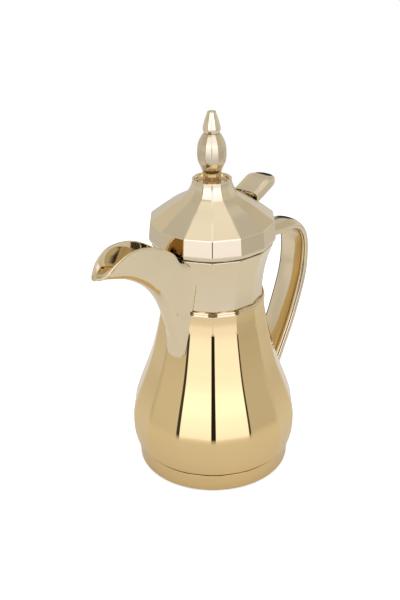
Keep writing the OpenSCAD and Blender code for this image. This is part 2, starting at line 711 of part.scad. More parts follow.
module lever_bracket() {
    foot_z = plate_z + plate_h + fit;
    color(steel) difference() {
        union() {
            translate([pin_x - 5, -bracket_w - ear_t, foot_z]) cube([10, 2 * (bracket_w + ear_t), 1.6]);
            for (s = [-1, 1]) translate([0, s * (bracket_w + ear_t / 2), 0]) rotate([90, 0, 0])
                linear_extrude(ear_t, center = true) hull() {
                    translate([pin_x, pin_z]) circle(r = 3.4, $fn = 32);
                    translate([pin_x - 5, foot_z]) square([10, 1.6]);
                }
        }
        translate([pin_x, 0, pin_z]) rotate([90, 0, 0])
            cylinder(r = pin_r + 0.01, h = 30, center = true, $fn = 48);
    }
}

module lever_pin() {
    color(steel) translate([pin_x, 0, pin_z]) rotate([90, 0, 0])
        cylinder(r = pin_r, h = 2 * (bracket_w + ear_t) + 1, center = true, $fn = 48);
}

// Side view of the lever as [along X, height]; the thumb pad rises to its tip
module lever_side() {
    pad = curve([[pin_x + 6, pin_z + 5.2], [pin_x + 14, pin_z + 7], [pin_x + 28, pin_z + 9.8],
        [lever_reach - 2.5, pin_z + 11.6], [lever_reach, pin_z + 10]], 4);
    under = curve([[lever_reach - 1.5, pin_z + 8.2], [pin_x + 26, pin_z + 4.4], [pin_x + 12, pin_z - 1.2],
        [pin_x + 7.5, pin_z - 2.6]], 4);
    polygon(concat(pad, under));
}
module thumb_lever() {
    neck_w = bracket_w - gap;
    color(pale_gold) difference() {
        union() {
            // Thumb pad with a round tip
            intersection() {
                rotate([90, 0, 0]) linear_extrude(2 * lever_w, center = true) lever_side();
                linear_extrude(300) hull() {
                    translate([lever_reach - lever_w, 0]) circle(r = lever_w, $fn = 64);
                    translate([pin_x, -lever_w]) square([1, 2 * lever_w]);
                }
            }
            // Arm through the bracket
            translate([0, 0, fork_z]) translate([-6, -neck_w, 0]) cube([pin_x + 15, 2 * neck_w, lever_t]);
            translate([pin_x, 0, pin_z]) rotate([90, 0, 0])
                cylinder(r = 3.2, h = 2 * neck_w, center = true, $fn = 48);
        }
        translate([pin_x, 0, pin_z]) rotate([90, 0, 0])
            cylinder(r = pin_r + running, h = 4 * lever_w, center = true, $fn = 48);
        // Open fork round the valve stem
        translate([-8, -stem_r - gap, fork_z - 1]) cube([8 + stem_r + 1.2, 2 * (stem_r + gap), lever_t + 2]);
    }
}

module finial_bud() {
    foot_r = 6.9;
    waist = tip_r - 0.9;
    line = curve([[foot_r, bud_z + fit], [foot_r, bud_z + bud_h * 0.2],
        [mix(foot_r, bud_r, 0.3), bud_z + bud_h * 0.31],
        [mix(foot_r, bud_r, 0.88), bud_z + bud_h * 0.47], [bud_r, bud_z + bud_h * 0.63],
        [mix(waist, bud_r, 0.85), bud_z + bud_h * 0.79], [mix(waist, bud_r, 0.36), bud_z + bud_h * 0.93],
        [waist, tip_z - fit]], 2);
    color(pale_gold) difference() {
        faceted(line);
        cylinder(r = 1.6, h = tip_z + 1, $fn = 32);
    }
}

module finial_tip() {
    line = curve([[tip_r - 0.9, tip_z], [tip_r, tip_z + tip_h * 0.18], [tip_r * 0.97, tip_z + tip_h * 0.29],
        [tip_r * 0.76, tip_z + tip_h * 0.62], [tip_r * 0.53, tip_z + tip_h * 0.9],
        [tip_r * 0.46, tip_z + tip_h]], 2);
    color(pale_gold) difference() {
        faceted(line);
        cylinder(r = 1.6, h = tip_z + tip_h * 0.5, $fn = 32);
    }
}

module finial_stud() {
    color(steel) translate([0, 0, cup_z - 5])
        cylinder(r = 1.5, h = tip_z + tip_h * 0.45 - cup_z + 5, $fn = 32);
}

module finial_nut() {
    color(steel) difference() {
        translate([0, 0, cup_z - 3 - fit]) cylinder(r = 4, h = 3, $fn = 6);
        translate([0, 0, cup_z - 5]) cylinder(r = 1.51, h = 8, $fn = 32);
    }
}

foot_ring();
base_ring();
bottom_cap();
liner_cushion();
body_shell();
liner_outer();
liner_inner();
liner_spacers();
mouth_gasket();
neck_collar();
spout();
neck_trim();
throat();
throat_screws();
handle_shell();
handle_cover();
handle_screws();
stopper_seal();
stopper_body();
stem_guide();
valve_plug();
valve_washer();
valve_stem();
stem_nut();
valve_spring();
lid_base();
lid_dome();
lid_screws();
lever_bracket();
lever_pin();
thumb_lever();
finial_bud();
finial_tip();
finial_stud();
finial_nut();
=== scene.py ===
import json
import math

import bmesh
import bpy
import numpy as np
from mathutils import Matrix, Vector


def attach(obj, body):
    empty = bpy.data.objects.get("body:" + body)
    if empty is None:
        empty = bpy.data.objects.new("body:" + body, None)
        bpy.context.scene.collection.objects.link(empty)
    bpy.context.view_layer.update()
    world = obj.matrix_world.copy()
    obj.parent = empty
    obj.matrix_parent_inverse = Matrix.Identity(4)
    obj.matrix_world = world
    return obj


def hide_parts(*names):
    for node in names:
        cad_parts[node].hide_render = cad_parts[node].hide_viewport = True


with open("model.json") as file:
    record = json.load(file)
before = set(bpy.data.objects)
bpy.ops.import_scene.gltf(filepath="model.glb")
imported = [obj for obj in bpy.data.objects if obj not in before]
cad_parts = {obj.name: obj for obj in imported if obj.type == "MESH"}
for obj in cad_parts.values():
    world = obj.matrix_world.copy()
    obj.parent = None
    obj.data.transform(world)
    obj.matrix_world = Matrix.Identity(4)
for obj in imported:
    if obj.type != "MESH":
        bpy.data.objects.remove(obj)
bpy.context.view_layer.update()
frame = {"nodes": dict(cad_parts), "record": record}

# ---------------------------------------------------------------- sizes, in millimetres, from the CAD source
MM = 0.001
SAME_POINT = 1e-7  # metres
SIDES = 14
FLAT = math.cos(math.pi / SIDES)
BASE_R, BASE_H = 61.0, 15.3
BELLY_R, BELLY_Z = 66.0, 38.0
SEAM_R, SEAM_Z = 40.3, 143.5
SHELL = 1.2
NECK_H, WAIST_R, RIM_R, NECK_WALL = 43.7, 38.7, 46.6, 2.4
FIT = 0.1
NECK_Z = SEAM_Z + 3 + FIT
RIM_Z = NECK_Z + NECK_H
BASIN_Z = NECK_Z + 3.4
NECK_FLARE, FLARE_POWER = 3.0, 2.1
SPOUT_REACH, LIP_RISE, SPOUT_W, TAIL_W, TAIL_DROP, SPOUT_WALL = 126.5, 26.0, 10.3, 7.8, 35.5, 1.9
HANDLE_REACH, HANDLE_W, HANDLE_FOOT_W = 112.0, 12.8, 13.8
HANDLE_T, HANDLE_FOOT_T, HANDLE_FOOT_Z = 4.6, 6.2, 47.0
LID_Z = RIM_Z + 1.8
BAND_H, LID_R, RIDGE_R, DOME_H, CROWN_R, LID_WALL = 15.7, 48.4, 47.2, 30.6, 14.9, 2.0
RIDGE_Z = LID_Z + BAND_H
CROWN_Z = RIDGE_Z + DOME_H
CUP_Z = CROWN_Z - 6
CUP_FLOOR = 2.4
BUD_Z = CUP_Z + CUP_FLOOR
BUD_H, BUD_R = 38.0, 10.9
TIP_Z = BUD_Z + BUD_H
TIP_H, TIP_R = 15.6, 6.6
LEVER_REACH, LEVER_W, PIN_X, PIN_R = 72.0, 11.5, 34.0, 1.6
PIN_Z = RIDGE_Z + 3.2
LEVER_T, FORK_Z = 3.2, PIN_Z - 1
STEM_R, GAP, RUNNING, BRACKET_W = 2.0, 0.4, 0.05, 4.4
MOUTH_OUT = 24.6 + 2 * 1.6 + 3


# ---------------------------------------------------------------- curves and meshes
def curve(points, n):
    """Smooth curve through the points, with n steps between each two of them."""
    p = [np.array(q, float) for q in points]
    out = []
    for k in range(len(p) - 1):
        a, b, c, d = p[max(k - 1, 0)], p[k], p[k + 1], p[min(k + 2, len(p) - 1)]
        for s in range(n):
            t = s / n
            out.append(0.5 * (2 * b + (c - a) * t + (2 * a - 5 * b + 4 * c - d) * t * t
                              + (3 * b - a - 3 * c + d) * t ** 3))
    out.append(p[-1])
    return np.array(out)


def mix(a, b, t):
    return a + (b - a) * t


def clamp(v):
    return min(1.0, max(0.0, v))


def piece(name, verts, faces, body, slot, mat, *nodes):
    """A new piece, in millimetres, that rides on a body and stands for the CAD nodes named."""
    mesh = bpy.data.meshes.new(name)
    mesh.from_pydata([tuple(v) for v in np.asarray(verts, float) * MM], [], [tuple(f) for f in faces])
    mesh.validate()
    bm = bmesh.new()
    bm.from_mesh(mesh)
    bmesh.ops.remove_doubles(bm, verts=bm.verts, dist=SAME_POINT)
    bmesh.ops.recalc_face_normals(bm, faces=bm.faces)
    bm.to_mesh(mesh)
    bm.free()
    obj = bpy.data.objects.new(name, mesh)
    bpy.context.collection.objects.link(obj)
    for p in mesh.polygons:
        p.use_smooth = True
    mesh.materials.append(mat)
    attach(obj, body)
    if nodes:
        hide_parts(*nodes)
    return obj


def true_normals(obj):
    """Large flat faces keep their own direction where they meet a small rounded edge."""
    mod = obj.modifiers.new("normals", "WEIGHTED_NORMAL")
    mod.mode = "FACE_AREA"
    mod.weight = 100
    mod.keep_sharp = True


def cut(obj, verts, faces):
    """Takes a closed block, in millimetres, away from a piece."""
    mesh = bpy.data.meshes.new("cutter")
    mesh.from_pydata([tuple(v) for v in np.asarray(verts, float) * MM], [], [tuple(f) for f in faces])
    bm = bmesh.new()
    bm.from_mesh(mesh)
    bmesh.ops.recalc_face_normals(bm, faces=bm.faces)
    bm.to_mesh(mesh)
    bm.free()
    tool = bpy.data.objects.new("cutter", mesh)
    bpy.context.collection.objects.link(tool)
    mod = obj.modifiers.new("cut", "BOOLEAN")
    mod.operation, mod.solver, mod.object = "DIFFERENCE", "EXACT", tool
    bpy.context.view_layer.update()
    done = bpy.data.meshes.new_from_object(obj.evaluated_get(bpy.context.evaluated_depsgraph_get()))
    obj.modifiers.clear()
    old, obj.data = obj.data, done
    bpy.data.meshes.remove(old)
    bpy.data.objects.remove(tool)
    bpy.data.meshes.remove(mesh)


def block(x0, x1, y0, y1, z0, z1):
    v = [(x, y, z) for x in (x0, x1) for y in (y0, y1) for z in (z0, z1)]
    return v, [(0, 1, 3, 2), (4, 6, 7, 5), (0, 4, 5, 1), (2, 3, 7, 6), (0, 2, 6, 4), (1, 5, 7, 3)]


def grid_faces(rows, cols, closed_rows=False):
    """Faces between the rows of a tube; closed_rows joins the last row to the first."""
    faces = []
    for i in range(rows if closed_rows else rows - 1):
        for j in range(cols):
            a, b = (i + 1) % rows, (j + 1) % cols
            faces.append((i * cols + j, i * cols + b, a * cols + b, a * cols + j))
    return faces


STRAIGHT = math.radians(87)  # half of a corner so flat that it needs no rounding
MOST_OF_SIDE = 0.48


def rounded(points, radii, steps):
    """Closed outline with each corner rounded to its own radius."""
    p = [np.array(q, float) for q in points]
    n = len(p)
    out = []
    for i in range(n):
        a, b, c = p[i - 1], p[i], p[(i + 1) % n]
        u, v = a - b, c - b
        lu, lv = np.linalg.norm(u), np.linalg.norm(v)
        u, v = u / lu, v / lv
        cosine = float(np.clip(u @ v, -1, 1))
        half = math.acos(cosine) / 2
        if radii[i] <= 0 or half > STRAIGHT:
            out.append([*b])
            continue
        reach = min(radii[i] / math.tan(half), lu * MOST_OF_SIDE, lv * MOST_OF_SIDE)
        r = reach * math.tan(half)
        centre = b + (u + v) / np.linalg.norm(u + v) * (r / math.sin(half))
        start, end = b + u * reach - centre, b + v * reach - centre
        for s in range(steps + 1):
            t = s / steps
            w = math.pi - 2 * half
            k = (math.sin((1 - t) * w) * start + math.sin(t * w) * end) / math.sin(w)
            out.append([*(centre + k)])
    return out


ARC_STEPS = 8
FLAT_STEPS = (-1, -0.94, -0.5, 0, 0.5, 0.94, 1)


def ring_points(radius, corner, circle):
    """One ring of a many-sided shell: flats that meet in rounded edges. It is round where circle is 1."""
    apothem = radius * FLAT
    corner = min(corner, apothem * 0.98)
    half = (apothem - corner) * math.tan(math.pi / SIDES)
    reach = (apothem - corner) / FLAT
    out = []
    for i in range(SIDES):
        a = 2 * math.pi * i / SIDES
        normal, along = np.array([math.cos(a), math.sin(a)]), np.array([-math.sin(a), math.cos(a)])
        for t in FLAT_STEPS:
            out.append(normal * apothem + along * t * half)
        edge = a + math.pi / SIDES
        centre = reach * np.array([math.cos(edge), math.sin(edge)])
        for s in range(1, ARC_STEPS):
            b = a + 2 * math.pi / SIDES * s / ARC_STEPS
            out.append(centre + corner * np.array([math.cos(b), math.sin(b)]))
    out = np.array(out)
    if circle > 0:
        out = out * (1 - circle) + out / np.linalg.norm(out, axis=1, keepdims=True) * radius * circle
    return out


def many_sided(section):
    """Closed shell from a closed section of (radius over the edges, height, edge radius, roundness)."""
    cols = SIDES * (len(FLAT_STEPS) + ARC_STEPS - 1)
    rings = [np.column_stack([ring_points(r, c, k), np.full(cols, z)]) for r, z, c, k in section]
    return np.concatenate(rings), grid_faces(len(rings), cols, closed_rows=True)


def turned(section, steps):
    """Closed body of revolution from a closed section of (radius, height)."""
    verts = []
    for r, z in section:
        for s in range(steps):
            a = 2 * math.pi * s / steps
            verts.append((r * math.cos(a), r * math.sin(a), z))
    return np.array(verts), grid_faces(len(section), steps, closed_rows=True)


# ---------------------------------------------------------------- profiles
def body_profile(low_steps=24, steps=20):
    low = [(mix(BASE_R, BELLY_R, math.sqrt(1 - (1 - s / low_steps) ** 2)),
            mix(BASE_H + FIT, BELLY_Z, s / low_steps)) for s in range(low_steps)]
    high = curve([(1, 0), (0.985, 0.09), (0.79, 0.24), (0.4, 0.5), (0.145, 0.75), (0.034, 0.905), (0, 1)],
                 steps)
    return np.array(low + [(mix(SEAM_R, BELLY_R, q[0]), mix(BELLY_Z, SEAM_Z, q[1])) for q in high])


BODY = body_profile()


def roundness(z):
    return 1 - clamp((z - BASE_H) / (BELLY_Z - BASE_H))


def body_r(z):
    return float(np.interp(z, BODY[:, 1], BODY[:, 0]))


def neck_r(z):
    return mix(WAIST_R, RIM_R, clamp((z - NECK_Z - NECK_FLARE) / (NECK_H - NECK_FLARE)) ** FLARE_POWER)


def face_x(z):
    """Distance of one flat face of the pot from the axis."""
    if z < SEAM_Z:
        return body_r(z) * FLAT
    if z < NECK_Z:
        return (SEAM_R + 0.5) * FLAT
    return neck_r(z) * FLAT


def pot_block(z0, z1, grow):
    """The whole many-sided pot between two heights, for trimming what stands on it."""
    zs = list(np.linspace(z0, SEAM_Z - 0.02, 40)) + [SEAM_Z + 0.02, NECK_Z - 0.02, NECK_Z + 0.02]
    zs += list(np.linspace(NECK_Z + 1, RIM_Z, 26)) + [z1]
    corners = [2 * math.pi * (i + 0.5) / SIDES for i in range(SIDES)]
    verts = []
    for z in zs:
        r = (face_x(min(z, RIM_Z)) + grow) / FLAT
        verts += [(r * math.cos(a), r * math.sin(a), z) for a in corners]
    last = (len(zs) - 1) * SIDES
    return verts, grid_faces(len(zs), SIDES) + [tuple(range(SIDES)), tuple(range(last, last + SIDES))]


SUNK = 0.15  # how far spout and handle reach into the pot's faces


# ---------------------------------------------------------------- materials
def material(name, colour, metallic=0.0, roughness=0.4, coat=0.0, vary=0.03, grain=0.0, scale=40.0,
             rough_vary=0.02):
    """Principled surface whose tone, roughness and fine relief follow noise in the object's own space."""
    mat = bpy.data.materials.new(name)
    mat.use_nodes = True
    nodes, links = mat.node_tree.nodes, mat.node_tree.links
    shader = nodes["Principled BSDF"]
    shader.inputs["Metallic"].default_value = metallic
    shader.inputs["Coat Weight"].default_value = coat
    coords = nodes.new("ShaderNodeTexCoord")
    noise = nodes.new("ShaderNodeTexNoise")
    noise.inputs["Scale"].default_value = scale
    noise.inputs["Detail"].default_value = 4
    links.new(coords.outputs["Object"], noise.inputs["Vector"])
    ramp = nodes.new("ShaderNodeValToRGB")
    ramp.color_ramp.elements[0].position = 0.3
    ramp.color_ramp.elements[1].position = 0.7
    ramp.color_ramp.elements[0].color = (*[c * (1 - vary) for c in colour], 1)
    ramp.color_ramp.elements[1].color = (*[min(1, c * (1 + vary)) for c in colour], 1)
    links.new(noise.outputs["Fac"], ramp.inputs["Fac"])
    links.new(ramp.outputs["Color"], shader.inputs["Base Color"])
    spread = nodes.new("ShaderNodeMapRange")
    spread.inputs["To Min"].default_value = max(0.0, roughness - rough_vary)
    spread.inputs["To Max"].default_value = roughness + rough_vary
    fine = nodes.new("ShaderNodeTexNoise")
    fine.inputs["Scale"].default_value = scale * 3
    links.new(coords.outputs["Object"], fine.inputs["Vector"])
    links.new(fine.outputs["Fac"], spread.inputs["Value"])
    links.new(spread.outputs["Result"], shader.inputs["Roughness"])
    if grain:
        bump = nodes.new("ShaderNodeBump")
        bump.inputs["Strength"].default_value = grain
        bump.inputs["Distance"].default_value = 0.0002
        links.new(fine.outputs["Fac"], bump.inputs["Height"])
        links.new(bump.outputs["Normal"], shader.inputs["Normal"])
    return mat


GOLD = material("plated_steel_gold", (0.80, 0.59, 0.29), metallic=1, roughness=0.05, scale=18, vary=0.012,
                rough_vary=0.015)
PALE = material("plated_shell_gold", (0.80, 0.67, 0.455), metallic=1, roughness=0.055, scale=22, vary=0.012,
                rough_vary=0.015)
PLASTIC = material("cream_plastic", (0.80, 0.76, 0.66), roughness=0.32, coat=0.2, grain=0.05, scale=90)
SILICONE = material("milky_silicone", (0.62, 0.60, 0.54), roughness=0.55, grain=0.15, scale=120)
RUBBER = material("black_rubber", (0.015, 0.015, 0.016), roughness=0.7, grain=0.3, scale=160)
STEEL = material("bright_steel", (0.60, 0.60, 0.61), metallic=1, roughness=0.22, scale=200, vary=0.05,
                 rough_vary=0.08)
GLASS = material("silvered_glass", (0.86, 0.88, 0.89), metallic=1, roughness=0.03, scale=30, vary=0.02,
                 rough_vary=0.01)
BUD_PALE = material("bud_shell_gold", (0.69, 0.58, 0.39), metallic=1, roughness=0.11, scale=60, vary=0.03,
                    grain=0.1, rough_vary=0.04)
FINISH = {"plated_steel": GOLD, "plated_shell": PALE, "moulded_plastic": PLASTIC, "silicone": SILICONE,
          "rubber": RUBBER, "steel": STEEL, "silvered_glass": GLASS}
slot_of = {s["node"]: s["material_slot"] for s in frame["record"]["subparts"]}
for node, obj in frame["nodes"].items():
    for s in obj.material_slots:
        s.material = FINISH[slot_of[node]]


# ---------------------------------------------------------------- flask
GROOVE = 1.1
SOFTEN = 7
NECK_EDGE, TRIM_EDGE, NECK_LIP = 4, 24, 0.9


def make_body():
    inner = [(r * mix(FLAT, 1, roundness(z)) - SHELL, z, 1, 1.0) for r, z in BODY[::6]]
    soft = np.linspace(-SOFTEN, SOFTEN, 2 * SOFTEN + 1)
    outer = []
    for r, z in BODY:
        # The belly is a soft curve: each radius is a mean over the heights round it.
        spread = clamp(min(z - BASE_H, 2 * BELLY_Z - z) / SOFTEN)
        r = float(np.mean([body_r(z + spread * step) for step in soft]))
        outer.append((r, z, 0.6 + 0.18 * r * (1 - clamp((z - SEAM_Z + 15) / 3)), roundness(z)))
    seat = BASE_H + GROOVE
    outer = [q for q in outer if q[1] > seat + 0.3]
    foot = [(BASE_R - 0.5, seat, 8, 1.0), (BASE_R - 0.12, seat + 0.12, 8, 1.0)]
    top = outer[-1]
    lip = [(top[0] - 0.15, top[1] + 0.02, top[2], 0)]
    section = foot + outer + lip
    section += [(q[0], q[1], q[2], 1.0) for q in reversed(inner)]
    verts, faces = many_sided(section)
    true_normals(piece("body_gold", verts, faces, "flask", "plated_steel", GOLD, "body_shell"))


def make_base():
    outline = rounded([(BASE_R - 14, 1.9), (BASE_R - 14, 4.3), (BASE_R - 4.5, 4.3),
                       (BASE_R - 4.5, BASE_H + 4), (BASE_R - 2.5, BASE_H + 4), (BASE_R - 2.5, BASE_H),
                       (BASE_R, BASE_H), (BASE_R - 0.8, 0.6), (BASE_R - 4, 0.6), (BASE_R - 4, 1.9)],
                      [0, 0, 0, 0, 0, 0, 0.25, 1.8, 0.3, 0.3], 8)
    dense = []
    for i, q in enumerate(outline):
        nxt = outline[(i + 1) % len(outline)]
        dense += [(mix(q[0], nxt[0], t), mix(q[1], nxt[1], t)) for t in (0, 0.05, 0.5, 0.95)]
    verts, faces = turned(dense, 200)
    true_normals(piece("base_gold", verts, faces, "flask", "plated_steel", GOLD, "base_ring"))


def make_neck():
    e = NECK_EDGE
    outer = [(WAIST_R - 0.4, NECK_Z, e, 0), (WAIST_R, NECK_Z + 0.4, e, 0)]
    outer += [(neck_r(z), z, e, 0) for z in np.linspace(NECK_Z + 1, RIM_Z - NECK_LIP, 50)]
    rim_in = RIM_R * FLAT - NECK_WALL
    basin_in = WAIST_R * FLAT - NECK_WALL
    for a in (30, 60, 90):
        outer.append((RIM_R - NECK_LIP + NECK_LIP * math.cos(math.radians(a)),
                      RIM_Z - NECK_LIP + NECK_LIP * math.sin(math.radians(a)), e, 0))
    inner = [(rim_in + 0.4, RIM_Z, e, 1.0), (rim_in, RIM_Z - 0.5, e, 1.0)]
    inner += [(neck_r(z) * FLAT - NECK_WALL, z, e, 1.0) for z in np.linspace(RIM_Z - 2, BASIN_Z + 1, 24)]
    inner += [(basin_in, BASIN_Z + 0.6, e, 1.0), (basin_in - 0.4, BASIN_Z, e, 1.0)]
    hole = MOUTH_OUT + 0.8
    spigot = SEAM_R * FLAT - SHELL - 0.6
    inner += [(hole, BASIN_Z, e, 1.0), (hole, NECK_Z, e, 1.0), (spigot - 2.2, NECK_Z, e, 1.0),
              (spigot - 2.2, SEAM_Z - 8, e, 1.0), (spigot, SEAM_Z - 8, e, 1.0), (spigot, NECK_Z, e, 1.0)]
    verts, faces = many_sided(outer + inner)
    obj = piece("neck_gold", verts, faces, "flask", "plated_shell", PALE, "neck_collar")
    low, high = arm_w(0, BASIN_Z) - SPOUT_WALL, SPOUT_W - SPOUT_WALL
    v = [(x, y, z) for x in (-RIM_R - 5, -20) for y, z in
         ((-low, BASIN_Z + 0.01), (low, BASIN_Z + 0.01), (high, RIM_Z + 1), (-high, RIM_Z + 1))]
    cut(obj, v, [(0, 1, 2, 3), (7, 6, 5, 4), (0, 4, 5, 1), (1, 5, 6, 2), (2, 6, 7, 3), (3, 7, 4, 0)])
    true_normals(obj)


def make_trim():
    r = SEAM_R
    low, high = SEAM_Z + 0.12, NECK_Z - FIT - 0.05
    outline = [(r + 0.3, low), (r + 0.75, SEAM_Z + 0.3), (r + 0.45, SEAM_Z + 1.45), (r - 0.1, SEAM_Z + 1.6),
               (r - 0.1, SEAM_Z + 1.75), (r + 0.4, SEAM_Z + 1.85), (r + 0.1, high), (r - 3, high),
               (r - 3, low)]
    section = [(x, z, TRIM_EDGE, 0.0 if x > r - 1 else 1.0)
               for x, z in rounded(outline, [0.1, 0.15, 0.15, 0.05, 0.05, 0.15, 0.15, 0, 0], 3)]
    verts, faces = many_sided(section)
    true_normals(piece("trim_gold", verts, faces, "flask", "plated_steel", PALE, "neck_trim"))


# ---------------------------------------------------------------- spout
TAIL_Z = SEAM_Z - TAIL_DROP
SPOUT_START = -WAIST_R * FLAT + 0.8
KEEL_RUN, KEEL_RISE = SPOUT_REACH - SEAM_R, RIM_Z + 12 - TAIL_Z
TAIL_X = -(body_r(TAIL_Z) * FLAT + 1.8)
KEEL = curve([(TAIL_X, TAIL_Z + 1.5), (TAIL_X - 0.7, TAIL_Z + 11),
              (-SEAM_R - 0.132 * KEEL_RUN, TAIL_Z + 0.26 * KEEL_RISE),
              (-SEAM_R - 0.249 * KEEL_RUN, TAIL_Z + 0.544 * KEEL_RISE),
              (-SEAM_R - 0.406 * KEEL_RUN, TAIL_Z + 0.737 * KEEL_RISE),
              (-SEAM_R - 0.637 * KEEL_RUN, TAIL_Z + 0.89 * KEEL_RISE),
              (-SEAM_R - 0.867 * KEEL_RUN, TAIL_Z + 0.972 * KEEL_RISE),
              (-SPOUT_REACH, TAIL_Z + KEEL_RISE)], 16)
LIP_RUN = SPOUT_REACH - RIM_R
LIP = curve([(SPOUT_START, RIM_Z), (-LID_R - 0.6, RIM_Z + 0.2),
             (-RIM_R - 0.135 * LIP_RUN, RIM_Z + 0.41 * LIP_RISE),
             (-RIM_R - 0.4 * LIP_RUN, RIM_Z + 0.87 * LIP_RISE),
             (-RIM_R - 0.655 * LIP_RUN, RIM_Z + LIP_RISE), (-RIM_R - 0.83 * LIP_RUN, RIM_Z + 0.83 * LIP_RISE),
             (-RIM_R - 0.945 * LIP_RUN, RIM_Z + 0.57 * LIP_RISE), (-SPOUT_REACH, RIM_Z + 13.6)], 16)
# Heights over the keel at which the sides bend in to it, along the spout
KEEL_DEPTH = np.array([(SPOUT_START, 4), (TAIL_X, 5), (TAIL_X - 3, 20), (TAIL_X - 8, 18), (TAIL_X - 24, 6.5),
                       (-SPOUT_REACH, 6.5)])
ROOT_L = 12.0
ROOT_SPREAD = np.array([(TAIL_Z, 2.3), (SEAM_Z, 2.5), (SEAM_Z + 20, 4), (RIM_Z - 6, 3), (RIM_Z, 1)])
OUTER_TAPER, INNER_TAPER = 0.8, 0.55
SPOUT_EDGE = 0.9


def height_on(line, x):
    return float(np.interp(-x, -line[:, 0], line[:, 1]))


def arm_w(x, z):
    t = clamp((-x - SPOUT_REACH * 0.79) / (SPOUT_REACH * 0.216))
    return mix(TAIL_W, SPOUT_W, clamp((z - TAIL_Z) / (RIM_Z - TAIL_Z))) * math.sqrt(1 - t * t)


def side_w(x, z):
    spread = float(np.interp(z, ROOT_SPREAD[:, 0], ROOT_SPREAD[:, 1]))
    return arm_w(x, z) + spread * max(0.0, 1 - (-x - face_x(min(z, RIM_Z))) / ROOT_L) ** 2


def spout_half(x, low, high, inset, taper, sides_n=20, keel_n=14):
    """Half of a section, from the lip at -Y to the keel's middle."""
    bottom = low + min(height_on(KEEL_DEPTH, x), (high - low) * 0.8)
    out = [(x, (inset - side_w(x, mix(bottom, high, t))) * mix(taper, 1, t), mix(bottom, high, t))
           for t in np.linspace(1, 0, sides_n, endpoint=False)]
    w0 = (side_w(x, bottom) - inset) * taper
    out += [(x, -w0 * math.cos(a), bottom - (bottom - low) * math.sin(a))
            for a in np.linspace(0, math.pi / 2, keel_n + 1)]
    return out


def spout_section(x, shrink=0.0, dx=0.0):
    low = TAIL_Z if x > TAIL_X else height_on(KEEL, x)
    high = height_on(LIP, x)
    wall = min(SPOUT_WALL, side_w(x, high) * 0.45)
    floor_z = min(max(low + SPOUT_WALL, BASIN_Z), high - 0.6)
    lip_r = min(wall / 2, SPOUT_EDGE)
    outer = np.array(spout_half(x, low, high - lip_r, 0, OUTER_TAPER))
    inner = np.array(spout_half(x, floor_z, high - lip_r, wall, INNER_TAPER))
    middle = (outer + inner) / 2
    outer, inner = outer + (middle - outer) * shrink, inner + (middle - inner) * shrink
    top = (outer[0] + inner[0]) / 2
    arm, rise = np.linalg.norm(outer[0] - inner[0]) / 2, lip_r * (1 - shrink)
    lip = [(x, top[1] + arm * math.cos(a), top[2] + rise * math.sin(a))
           for a in np.linspace(0, math.pi, 7)[1:-1]]
    # Round the section: up the inside at -Y, over the lip, down the outside, along the keel, and back
    half = list(inner[::-1]) + lip + list(outer)
    other = [(p[0], -p[1], p[2]) for p in half[::-1][1:]]
    loop = [tuple(p) for p in half] + other[:-1]
    return [(p[0] + dx, p[1], p[2]) for p in loop]


def make_spout():
    # Stations lie closer together at the tip and at the tail
    xs = []
    for first, last, count in ((-SPOUT_REACH, -SPOUT_REACH + 6, 12), (-SPOUT_REACH + 7, TAIL_X - 9, 50),
                               (TAIL_X - 8.4, TAIL_X, 30), (TAIL_X + 0.3, SPOUT_START, 24)):
        xs += list(np.linspace(first, last, count))
    loops = [spout_section(-SPOUT_REACH, 1 - math.cos(a), -SPOUT_EDGE * math.sin(a) + SPOUT_EDGE)
             for a in np.linspace(math.pi / 2, 0, 5, endpoint=False)]
    loops += [spout_section(x, 0, SPOUT_EDGE * clamp((-x - SPOUT_REACH + 8) / 8)) for x in xs]
    cols = len(loops[0])
    verts = np.concatenate([np.array(q) for q in loops])
    faces = grid_faces(len(loops), cols)
    last = (len(loops) - 1) * cols
    for base in (0, last):
        faces.append(tuple(range(base, base + cols)))
    obj = piece("spout_gold", verts, faces, "flask", "plated_shell", PALE, "spout")
    cut(obj, *pot_block(TAIL_Z - 4, RIM_Z + 20, -SUNK))
    true_normals(obj)


# ---------------------------------------------------------------- handle
HANDLE_TOP = RIM_Z - 12.5
HANDLE_ROOT_W = neck_r(HANDLE_TOP) * math.sin(math.pi / SIDES) + 0.4
RIM_BEAD, COVER_IN = 1.35, 1.85


